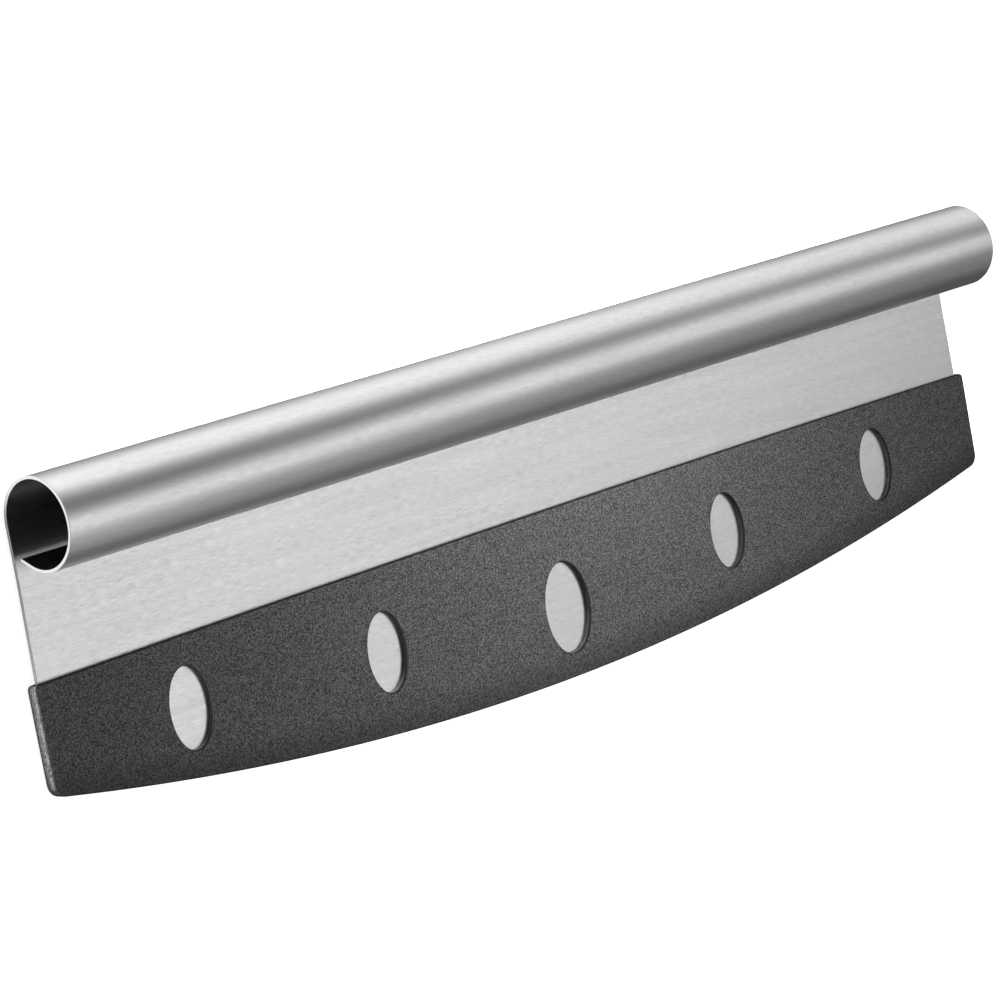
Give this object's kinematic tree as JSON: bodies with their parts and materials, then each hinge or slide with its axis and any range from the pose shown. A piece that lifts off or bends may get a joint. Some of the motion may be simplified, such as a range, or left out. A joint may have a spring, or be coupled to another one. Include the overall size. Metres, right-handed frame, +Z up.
{
  "type": "rocking pizza knife",
  "caption": "Rocking pizza knife bent from steel sheet: a rolled tube grip above a blade with an arc-shaped edge, in a slotted plastic guard with oval windows that slides off.",
  "frame": {"origin": "on the surface that the knife lies on, below the middle of its bounding box", "axes": "+X along the grip, +Y in the plane of the blade from the cutting edge to the grip, +Z up, out of the front face"},
  "size_m": [0.3552, 0.0928, 0.0237],
  "materials": {
    "brushed_sheet": "stainless steel sheet, fine satin brushing along the length of the grip",
    "guard_plastic": "anthracite moulded plastic with a fine speckled grain"
  },
  "bodies": {
    "knife": {"blade_and_grip": "brushed_sheet"},
    "guard": {"blade_guard": "guard_plastic"}
  },
  "joints": [
    {"name": "guard_slide", "type": "slide", "parent": "knife", "child": "guard", "axis": [0, -1, 0], "range_m": [0, 0.055]}
  ]
}
